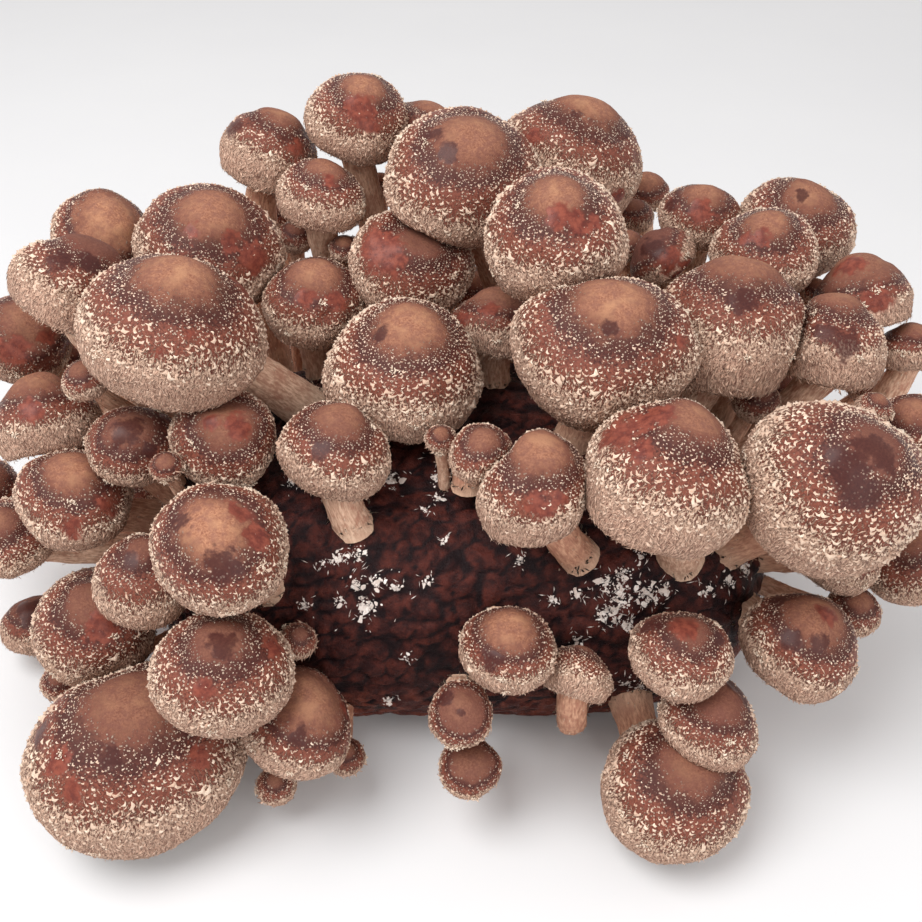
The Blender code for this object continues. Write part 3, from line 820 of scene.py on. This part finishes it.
def add_tufts(shape, cap, random):
    """A few brighter, fluffier tufts where the wool meets the felt, and one or two nearer the middle."""
    amount = max(2, round(cap.width / MM / 9))
    level = random.normal(0.95, 0.07, amount)
    level[:amount // 4] = random.uniform(0.42, 0.7, amount // 4)
    rows = np.interp(level, cap.share, np.arange(len(cap.share)))
    found = on_sheet(cap, rows, random.random(amount) * math.tau)
    place, normal, down = (np.repeat(values, TUFT_STRANDS, axis=0) for values in found)
    count = amount * TUFT_STRANDS
    cross = np.cross(normal, down)
    spread = np.repeat(random.uniform(0.5, 1.5, amount), TUFT_STRANDS)[:, None] * MM * coarseness(cap)
    stray = cross * random.normal(0, 1.0, (count, 1)) + down * random.normal(0, 0.5, (count, 1))
    place = place + stray * spread
    way = swing(cross, down, random.random((count, 1)) * math.tau)
    reach = way * lengths(random, TUFT_FIBRE.length, count)
    lift = normal * lengths(random, (0.3, 1.0), count)
    root = place - normal * TUFT_FIBRE.root * MM
    add_slivers(
        shape, root, place + reach / 2 + lift * 0.8, place + reach + lift, np.cross(normal, way),
        lengths(random, TUFT_FIBRE.width, count), FLECKS, 0.95, np.ones(count),
    )


def add_fringe(shape, cap, random):
    """Ragged pale threads hanging from the lip."""
    count = round(math.pi * cap.width / MM * FRINGE_CROWDING)
    turns = random.random(count) * math.tau
    rows = np.full(count, len(cap.sheet) - 1.0) - random.random(count) * 2.5
    place, normal, down = on_sheet(cap, rows, turns)
    way = swing(down, np.cross(normal, down), random.normal(0, 0.5, count)[:, None])
    way = unit(way + normal * random.normal(0.25, 0.3, (count, 1)))
    reach = way * lengths(random, FRINGE_FIBRE.length, count)
    root = place - normal * FRINGE_FIBRE.root * MM
    add_slivers(
        shape, root, place + reach * 0.4, place + reach, np.cross(normal, way),
        lengths(random, FRINGE_FIBRE.width, count), FLECKS, 1.3, random.uniform(0.5, 1.0, count),
    )


def add_collar(shape, foot, into, radius, random):
    """White fluff round the foot of a stem, where it comes out of the block."""
    count = COLLAR_FIBRES
    side = unit(np.cross(into, ASKEW))
    out = swing(side, np.cross(into, side), random.random((count, 1)) * math.tau)
    place = foot + out * radius * random.uniform(0.85, 1.25, (count, 1))
    place = place - into * lengths(random, (0.0, 2.0), count)
    way = out + into * random.normal(0, 0.5, (count, 1))
    way = unit(way + np.cross(out, into) * random.normal(0, 0.9, (count, 1)))
    reach = way * lengths(random, COLLAR_FIBRE.length, count)
    add_slivers(
        shape, place, place + reach / 2, place + reach, np.cross(into, way),
        lengths(random, COLLAR_FIBRE.width, count), FLECKS, 0.95, random.uniform(0.6, 1.0, count),
    )


def grow_mushroom(name, rings, look, number, materials):
    """One mushroom, with all that grows on it, as one piece."""
    shape = Shape()
    random = np.random.default_rng(number)
    cap = draw_cap(rings, look, number)
    add_cap(shape, cap, look, number)
    add_gills(shape, cap, rings)
    add_stem(shape, rings, cap, random, number)
    add_flecks(shape, cap, look, random)
    add_fibres(shape, cap, look, random)
    add_tufts(shape, cap, random)
    add_fringe(shape, cap, random)
    foot, waist = rings[7].mean(axis=0), rings[6].mean(axis=0)
    add_collar(shape, foot, unit(foot - waist), mean_radius(rings[6]), random)
    return shape.piece(name, materials, "mushroom")


class Finish:
    """A material, with each kind of node it uses made by one short call."""

    def __init__(self, name):
        self.material = bpy.data.materials.new(name)
        self.material.use_nodes = True
        self.tree = self.material.node_tree
        self.shader = self.tree.nodes["Principled BSDF"]

    def put(self, socket, value):
        """Links a node's output to a socket, or sets the socket's own value."""
        if isinstance(value, bpy.types.NodeSocket):
            self.tree.links.new(value, socket)
        elif isinstance(value, tuple) and len(value) == 3 and socket.type == "RGBA":
            socket.default_value = (*value, 1.0)
        else:
            socket.default_value = value

    def node(self, kind, inputs, output=0, **settings):
        made = self.tree.nodes.new(kind)
        for name, value in settings.items():
            setattr(made, name, value)
        for name, value in inputs.items():
            self.put(made.inputs[name], value)
        return made.outputs[output]

    def amounts(self, *names):
        """Attributes that hold one number to the point."""
        return [self.node("ShaderNodeAttribute", {}, "Fac", attribute_name=name) for name in names]

    def place(self, name):
        """An attribute that holds a place to the point."""
        return self.node("ShaderNodeAttribute", {}, "Vector", attribute_name=name)

    def noise(self, where, scale, detail=4.0, rough=0.55, bend=0.0):
        inputs = {"Vector": where, "Scale": scale, "Detail": detail, "Roughness": rough, "Distortion": bend}
        return self.node("ShaderNodeTexNoise", inputs, "Fac")

    def cells(self, where, scale):
        return self.node("ShaderNodeTexVoronoi", {"Vector": where, "Scale": scale}, "Distance")

    def stretched(self, where, factors):
        return self.node("ShaderNodeMapping", {"Vector": where, "Scale": factors})

    def ease(self, value, low, high, start=0.0, end=1.0):
        """Goes smoothly from start to end while the value goes from low to high."""
        inputs = {"Value": value, "From Min": low, "From Max": high, "To Min": start, "To Max": end}
        return self.node("ShaderNodeMapRange", inputs, interpolation_type="SMOOTHSTEP")

    def maths(self, operation, first, second):
        return self.node("ShaderNodeMath", {0: first, 1: second}, operation=operation)

    def plus(self, first, second):
        return self.maths("ADD", first, second)

    def times(self, first, second):
        return self.maths("MULTIPLY", first, second)

    def larger(self, first, second):
        return self.maths("MAXIMUM", first, second)

    def strayed(self, value, field, reach):
        """The value moved up and down by a noise field."""
        return self.plus(value, self.ease(field, 0.25, 0.75, -reach, reach))

    def mix(self, share, first, second):
        return self.node("ShaderNodeMixRGB", {"Fac": share, "Color1": first, "Color2": second})

    def relief(self, height, depth):
        return self.node("ShaderNodeBump", {"Height": height, "Distance": depth, "Strength": 1.0})

    def wear(self, **values):
        """The finished material."""
        for name, value in values.items():
            self.put(self.shader.inputs[name.replace("_", " ")], value)
        return self.material


def cap_finish():
    """Velvety middle, dark ring with pale dots, glossy red-brown skin, cream wool, then streaky felt."""
    skin = Finish("cap_skin")
    across, tan, red, plum = skin.amounts("across", "tint", "red", "plum")
    grain, turned = skin.place("grain"), skin.place("turned")
    blotch = skin.noise(grain, 0.13)
    mottle = skin.noise(grain, 0.42, rough=0.6)
    speckle = skin.noise(grain, 1.3, rough=0.7)
    zone = skin.strayed(across, blotch, 0.045)
    zone = skin.strayed(zone, mottle, 0.04)
    zone = skin.strayed(zone, speckle, 0.04)

    velvet = skin.mix(skin.ease(speckle, 0.3, 0.7), (0.24, 0.092, 0.055), (0.5, 0.24, 0.14))
    velvet = skin.mix(skin.ease(mottle, 0.4, 0.7, 0.0, 0.8), velvet, (0.27, 0.12, 0.085))
    velvet = skin.mix(skin.ease(blotch, 0.45, 0.72, 0.0, 0.7), velvet, (0.56, 0.29, 0.16))
    dusky = skin.mix(speckle, (0.075, 0.026, 0.021), (0.21, 0.078, 0.056))
    fading = skin.times(tan, skin.ease(zone, UMBO_END + 0.02, UMBO_END - 0.24, 0.35, 1.0))
    velvet = skin.mix(fading, dusky, velvet)

    base = skin.mix(skin.ease(speckle, 0.3, 0.75), (0.082, 0.022, 0.015), (0.3, 0.096, 0.06))
    base = skin.mix(skin.ease(mottle, 0.42, 0.7), base, (0.205, 0.062, 0.04))
    ring = skin.times(skin.ease(zone, 0.28, 0.38), skin.ease(zone, 0.62, 0.46))
    base = skin.mix(skin.times(ring, 0.75), base, (0.036, 0.011, 0.011))

    dotted = skin.times(skin.ease(zone, 0.25, 0.36), skin.ease(zone, 0.72, 0.6))
    dot = skin.times(skin.ease(skin.cells(grain, 0.78), 0.34, 0.2), dotted)

    strands = skin.noise(skin.stretched(turned, (1.0, 1.0, 0.5)), 1.5, rough=0.65)
    reach = skin.ease(zone, WOOL_START, WOOL_FULL, -0.27, 0.09)
    wool = skin.ease(skin.plus(strands, reach), 0.44, 0.58)
    cream = skin.mix(skin.ease(speckle, 0.3, 0.7), (0.4, 0.235, 0.165), (0.82, 0.6, 0.45))

    bent = skin.noise(skin.stretched(turned, (1.0, 1.0, 0.22)), 1.9, rough=0.5, bend=1.4)
    felt = skin.mix(skin.ease(bent, 0.38, 0.6), (0.29, 0.14, 0.1), (0.82, 0.54, 0.4))
    felt = skin.mix(skin.ease(mottle, 0.4, 0.75, 0.0, 0.6), felt, (0.56, 0.32, 0.23))
    felted = skin.ease(zone, FELT_START - 0.10, FELT_START + 0.12)

    colour = skin.mix(skin.ease(zone, UMBO_END + 0.12, UMBO_END - 0.12), base, velvet)
    colour = skin.mix(skin.times(dot, 0.7), colour, (0.6, 0.45, 0.35))
    colour = skin.mix(wool, colour, cream)
    colour = skin.mix(skin.times(felted, 0.8), colour, felt)
    patch = skin.mix(skin.ease(mottle, 0.3, 0.7), (0.12, 0.026, 0.02), (0.255, 0.068, 0.043))
    colour = skin.mix(skin.ease(skin.strayed(red, mottle, 0.3), 0.2, 0.9), colour, patch)
    dark = skin.mix(speckle, (0.03, 0.008, 0.009), (0.095, 0.03, 0.024))
    colour = skin.mix(skin.ease(skin.strayed(plum, mottle, 0.3), 0.2, 0.9, 0.0, 0.85), colour, dark)

    bare = skin.larger(red, plum)
    rough = skin.ease(skin.larger(wool, felted), 0.0, 1.0, 0.42, 0.92)
    rough = skin.mix(skin.ease(zone, UMBO_END + 0.06, UMBO_END - 0.06), rough, (0.75, 0.75, 0.75))
    rough = skin.mix(skin.ease(bare, 0.35, 0.65), rough, (0.33, 0.33, 0.33))
    height = skin.plus(skin.times(speckle, 0.45), skin.times(dot, 0.6))
    height = skin.plus(height, skin.times(skin.times(bent, felted), 1.8))
    height = skin.times(skin.plus(height, wool), skin.ease(bare, 0.6, 0.2, 0.15, 1.0))
    relief = skin.relief(height, 0.55 * MM)
    return skin.wear(Base_Color=colour, Roughness=rough, Specular_IOR_Level=0.16, Normal=relief)


def fleck_finish():
    """Cream flecks and fibres, browner out on the felt."""
    flecks = Finish("cap_flecks")
    across, tint = flecks.amounts("across", "tint")
    speckle = flecks.noise(flecks.place("grain"), 1.4, 3.0)
    colour = flecks.mix(tint, (0.5, 0.3, 0.21), (0.93, 0.78, 0.63))
    colour = flecks.mix(flecks.ease(speckle, 0.35, 0.7, 0.0, 0.8), colour, (0.74, 0.52, 0.385))
    colour = flecks.mix(flecks.ease(across, 1.0, 1.1, 0.0, 0.6), colour, (0.62, 0.385, 0.28))
    relief = flecks.relief(speckle, 0.2 * MM)
    return flecks.wear(Base_Color=colour, Roughness=0.85, Specular_IOR_Level=0.2, Normal=relief)


def gill_finish():
    """Pale gills, browner at the lip."""
    gills = Finish("gills")
    across = gills.amounts("across")[0]
    speckle = gills.noise(gills.place("grain"), 0.6)
    colour = gills.mix(speckle, (0.64, 0.5, 0.38), (0.86, 0.76, 0.63))
    colour = gills.mix(gills.ease(across, 0.15, 0.0), colour, (0.5, 0.34, 0.24))
    return gills.wear(Base_Color=colour, Roughness=0.8, Normal=gills.relief(speckle, 0.2 * MM))


def stem_finish():
    """Pale fibrous stems, some orange-tan, with darker blotches."""
    stem = Finish("stem")
    across, tone = stem.amounts("across", "tint")
    streak = stem.noise(stem.stretched(stem.place("turned"), (1.0, 1.0, 0.3)), 1.1, rough=0.6)
    blotch = stem.noise(stem.place("grain"), 0.24)
    pale = stem.mix(stem.ease(streak, 0.3, 0.7), (0.49, 0.268, 0.182), (0.86, 0.6, 0.435))
    orange = stem.mix(stem.ease(streak, 0.3, 0.7), (0.37, 0.158, 0.098), (0.69, 0.385, 0.252))
    colour = stem.mix(stem.ease(tone, 0.2, 0.9), pale, orange)
    colour = stem.mix(stem.ease(blotch, 0.45, 0.7, 0.0, 0.8), colour, (0.43, 0.195, 0.13))
    colour = stem.mix(stem.ease(across, 0.75, 1.0, 0.0, 0.55), colour, (0.6, 0.43, 0.31))
    height = stem.plus(streak, stem.times(blotch, 0.8))
    relief = stem.relief(height, 0.6 * MM)
    return stem.wear(Base_Color=colour, Roughness=0.85, Specular_IOR_Level=0.2, Normal=relief)


def block_finish():
    """Dark chocolate skin, redder and layered low down, with painted shade darkening the grooves between
    its blisters.
    """
    skin = Finish("block_skin")
    crown, low, white = skin.amounts("across", "tint", "red")
    where = skin.place("grain")
    blotch = skin.noise(where, 0.2, rough=0.6)
    speckle = skin.noise(where, 1.2, rough=0.7)
    colour = skin.mix(skin.ease(blotch, 0.35, 0.7), (0.022, 0.005, 0.005), (0.09, 0.02, 0.014))
    layered = skin.mix(skin.ease(blotch, 0.35, 0.7), (0.06, 0.013, 0.01), (0.19, 0.05, 0.03))
    colour = skin.mix(low, colour, layered)
    # Painted shade: in the grooves between the blisters, where the crown is low, the colour goes to near
    # black
    colour = skin.mix(skin.ease(crown, 0.55, 0.15), colour, (0.009, 0.003, 0.004))
    colour = skin.mix(skin.ease(speckle, 0.62, 0.82, 0.0, 0.6), colour, (0.26, 0.11, 0.075))
    frayed = skin.ease(skin.plus(skin.noise(where, 0.55, rough=0.65), white), 1.02, 1.1)
    colour = skin.mix(frayed, colour, (0.74, 0.64, 0.58))
    rough = skin.mix(frayed, skin.ease(speckle, 0.35, 0.7, 0.24, 0.6), (0.9, 0.9, 0.9))
    height = skin.plus(skin.times(blotch, 0.8), skin.times(speckle, 0.6))
    height = skin.plus(height, skin.times(frayed, 0.6))
    relief = skin.relief(height, 0.9 * MM)
    return skin.wear(Base_Color=colour, Roughness=rough, Specular_IOR_Level=0.15, Normal=relief)


def crust_finish():
    """Off-white mycelium with tan stains."""
    crust = Finish("mycelium")
    tint = crust.amounts("tint")[0]
    speckle = crust.noise(crust.place("grain"), 1.1, rough=0.65)
    colour = crust.mix(tint, (0.56, 0.44, 0.38), (0.88, 0.82, 0.77))
    colour = crust.mix(crust.ease(speckle, 0.45, 0.75, 0.0, 0.7), colour, (0.58, 0.43, 0.35))
    return crust.wear(Base_Color=colour, Roughness=0.9, Normal=crust.relief(speckle, 0.3 * MM))


def even_skin(node, spacing):
    """A solid's surface drawn again in small even faces and smoothed: its points, normals and faces."""
    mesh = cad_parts[node].data.copy()
    form = welded_form(mesh)
    form.to_mesh(mesh)
    form.free()
    draft = put_in_scene("draft", mesh)
    remesh = draft.modifiers.new("even", "REMESH")
    remesh.mode = "VOXEL"
    remesh.voxel_size = spacing
    smooth = draft.modifiers.new("smooth", "SMOOTH")
    smooth.iterations = 10
    smooth.factor = 0.6
    even = draft.evaluated_get(bpy.context.evaluated_depsgraph_get()).data
    points = np.array([vert.co[:] for vert in even.vertices])
    normals = np.array([vert.normal[:] for vert in even.vertices])
    faces = [tuple(face.vertices) for face in even.polygons]
    bpy.data.objects.remove(draft, do_unlink=True)
    return points, normals, faces


# Blisters of the block's skin: their width, the height under which they are pressed into flat layers, and
# how far down from there they are all flat, in millimetres
BLISTER = 8.5
LAYERS_UNDER = 36.0
LAYERS_FADE = 14.0
BLISTER_SEED = 1


def blisters(points):
    """The crown of each blister (0 in the grooves, 1 on top), its tilt, and how layered each point is."""
    noise.seed_set(BLISTER_SEED)
    crown, tilt, low = [], [], []
    for x, y, z in (points / MM).tolist():
        depth = max(0.0, LAYERS_UNDER - z)
        pressed = min(1.0, depth / LAYERS_FADE)
        width = BLISTER * (1 + 0.9 * pressed)
        place = Vector((x / width, y / width, (z - 1.6 * depth) / BLISTER))
        place += noise.noise_vector((x / 12, y / 12, z / 12)) * 0.45
        away, cells = noise.voronoi(place)
        crown.append(min(1.0, (away[1] - away[0]) * 1.6) ** 0.6)
        tilt.append(cells[0][2] - place.z)
        low.append(pressed)
    return np.array(crown), np.array(tilt), np.array(low)


def make_block(material):
    """The block's skin, swollen into blisters that overlap downwards."""
    points, normals, faces = even_skin("block", BLOCK_SPACING)
    crown, tilt, low = blisters(points)
    rough = roughness_field(points, 4 * MM, 3, 2.0)
    broad = roughness_field(points, 26 * MM, 2, 7.0)
    white = patched(points, CRUSTS) * 0.6
    rise = (crown - 0.55) * 1.5 + tilt * 1.1 + rough * 0.4 + broad * 0.8
    rise *= MM * np.clip(points[:, 2] / (5 * MM), 0, 1)
    points = points + normals * rise[:, None]
    points[:, 2] = np.maximum(points[:, 2], 0.0)
    shape = Shape()
    shape.add(points, faces, 0, crown, low, white)
    piece = shape.piece("block_skin", [material], "block")
    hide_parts("block")
    return BVHTree.FromPolygons(points.tolist(), faces)


def scattered(surface, x, y, z, reach, count, random):
    """Places and normals on the surface, strewn round a place in millimetres."""
    middle = Vector((x, y, z)) * MM
    for _ in range(count):
        yield surface.find_nearest(middle + Vector(random.normal(0, reach, 3)) * MM)[:2]


def make_mycelium(surface, material):
    """White crusts and threads that lie on the block's skin."""
    random = np.random.default_rng(5)
    shape = Shape()
    crumbs, threads = [], []
    for x, y, z, radius in CRUSTS:
        crumbs.extend(scattered(surface, x, y, z, 0.62 * radius, round(9 * radius ** 1.5), random))
        threads.extend(scattered(surface, x, y, z, 1.3 * radius, round(5 * radius), random))
    add_crumbs(shape, crumbs, random)
    add_threads(shape, threads, random)
    shape.piece("mycelium_crust", [material], "mycelium")


def add_crumbs(shape, crumbs, random):
    """Low ragged crumbs with six corners each."""
    place, normal = (np.array(values) for values in zip(*crumbs))
    count, corners = len(place), 6
    side = unit(np.cross(normal, random.normal(0, 1, (count, 3))))
    cross = np.cross(normal, side)
    size = np.exp(random.normal(-0.80, 0.55, (count, 1))) * MM
    points = np.zeros((count, corners + 1, 3))
    for corner in range(corners):
        reach = size * random.uniform(0.35, 1.6, (count, 1))
        arm = swing(side, cross, corner / corners * math.tau) * reach
        points[:, corner] = place - normal * 0.15 * MM + arm
    points[:, corners] = place + normal * lengths(random, (0.15, 0.4), count)
    tint = np.repeat(random.uniform(0.3, 1.0, count), corners + 1)
    shape.add(points, pyramids(count, corners), 0, 1.0, tint)


def add_threads(shape, threads, random):
    """Single threads that strike out from the crumbs."""
    place, normal = (np.array(values) for values in zip(*threads))
    count = len(place)
    way = unit(np.cross(normal, random.normal(0, 1, (count, 3))))
    reach = way * lengths(random, BLOCK_THREAD.length, count)
    middle, tip = place + reach / 2 + normal * 0.4 * MM, place + reach + normal * 0.1 * MM
    width = lengths(random, BLOCK_THREAD.width, count)
    cross = np.cross(normal, way)
    add_slivers(shape, place, middle, tip, cross, width, 0, 1.0, random.uniform(0.4, 1.0, count))


FLOOR_REACH = 3.0
FLOOR_DROP = 0.2 * MM
PAPER_TONES = ((0.7, 0.7, 0.71), (0.74, 0.74, 0.745))
SKY_COLOUR = (1.0, 0.985, 0.98, 1.0)
SKY_STRENGTH = 0.80
LIGHT_TARGET = (0, 0, 0.07)


def make_stage():
    mesh = bpy.data.meshes.new("floor")
    corners = [(x * FLOOR_REACH, y * FLOOR_REACH, 0) for x, y in ((-1, -1), (1, -1), (1, 1), (-1, 1))]
    mesh.from_pydata(corners, [], [(0, 1, 2, 3)])
    floor = put_in_scene("floor", mesh)
    floor.location.z = -FLOOR_DROP
    paper = Finish("paper")
    grain = paper.noise(paper.node("ShaderNodeTexCoord", {}, "Object"), 6.0, 3.0)
    mesh.materials.append(paper.wear(Base_Color=paper.mix(grain, *PAPER_TONES), Roughness=0.9))

    world = bpy.data.worlds.new("studio")
    world.use_nodes = True
    sky = world.node_tree.nodes["Background"]
    sky.inputs["Color"].default_value = SKY_COLOUR
    sky.inputs["Strength"].default_value = SKY_STRENGTH
    bpy.context.scene.world = world
    bpy.context.scene.view_settings.view_transform = "Standard"
    add_light("key", (-0.48, -0.26, 1.07), 0.8, 10.6)
    add_light("fill", (0.5, -0.9, 0.6), 0.9, 3.6)


def aim(thing, place, target):
    """Puts a light or the camera at a place, turned to look at a target."""
    thing.location = place
    thing.rotation_euler = (Vector(target) - Vector(place)).to_track_quat("-Z", "Y").to_euler()


def add_light(name, place, size, power):
    data = bpy.data.lights.new(name, "AREA")
    data.shape = "DISK"
    data.size = size
    data.energy = power
    aim(put_in_scene(name, data), place, LIGHT_TARGET)


def make_camera():
    """The camera, where the photo was taken from."""
    data = bpy.data.cameras.new("camera")
    data.angle = CAMERA_ANGLE
    camera = put_in_scene("camera", data)
    aim(camera, CAMERA_PLACE, CAMERA_TARGET)
    bpy.context.scene.camera = camera


def make_mushrooms():
    """Every mushroom: those with a solid, then the small ones."""
    materials = [cap_finish(), gill_finish(), stem_finish(), fleck_finish()]
    looks = read_looks()
    names = sorted(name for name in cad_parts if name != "block")
    for number, name in enumerate(names):
        look = looks.get(name, Look())
        piece = grow_mushroom(name + "_look", read_rings(name), look, number, materials)
        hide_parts(name)
    for number, bud in enumerate(BUDS, len(names)):
        grow_mushroom(bud.name, bud_rings(bud), bud.look, number, materials)


make_camera()
make_stage()
make_mycelium(make_block(block_finish()), crust_finish())
make_mushrooms()
